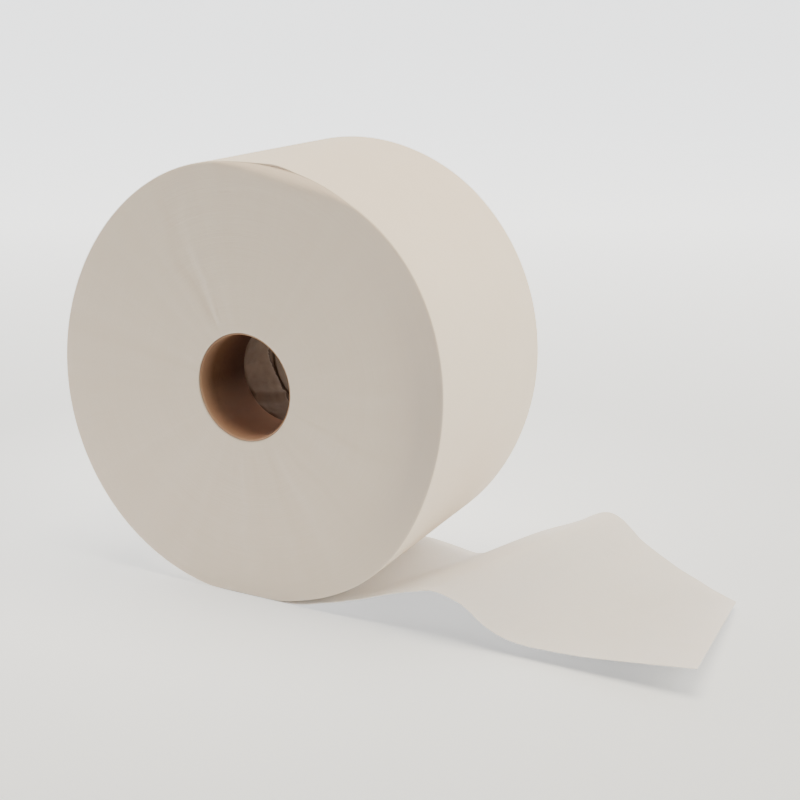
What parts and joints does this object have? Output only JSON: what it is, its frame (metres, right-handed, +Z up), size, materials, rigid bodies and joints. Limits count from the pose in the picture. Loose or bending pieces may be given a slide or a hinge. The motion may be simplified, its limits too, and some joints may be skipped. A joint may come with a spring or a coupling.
{
  "type": "toilet paper roll",
  "caption": "Wide roll of plain white toilet tissue lying on its curved side, with a short cardboard tube in each end of its core and a loose tail that rises in a slanting wave.",
  "frame": {"origin": "on the core's axis, half way across the roll's width", "axes": "+Y along the core's axis from the front end to the rear end, +X the way the loose tail runs, +Z up as the roll lies"},
  "size_m": [0.3058, 0.092, 0.1934],
  "materials": {
    "tissue": "soft matt uncoated tissue, slightly warm white",
    "core_board": "matt brown recycled board with a faint spiral seam"
  },
  "bodies": {
    "root": {"tissue": "tissue", "front_core_tube": "core_board", "rear_core_tube": "core_board"}
  },
  "joints": []
}
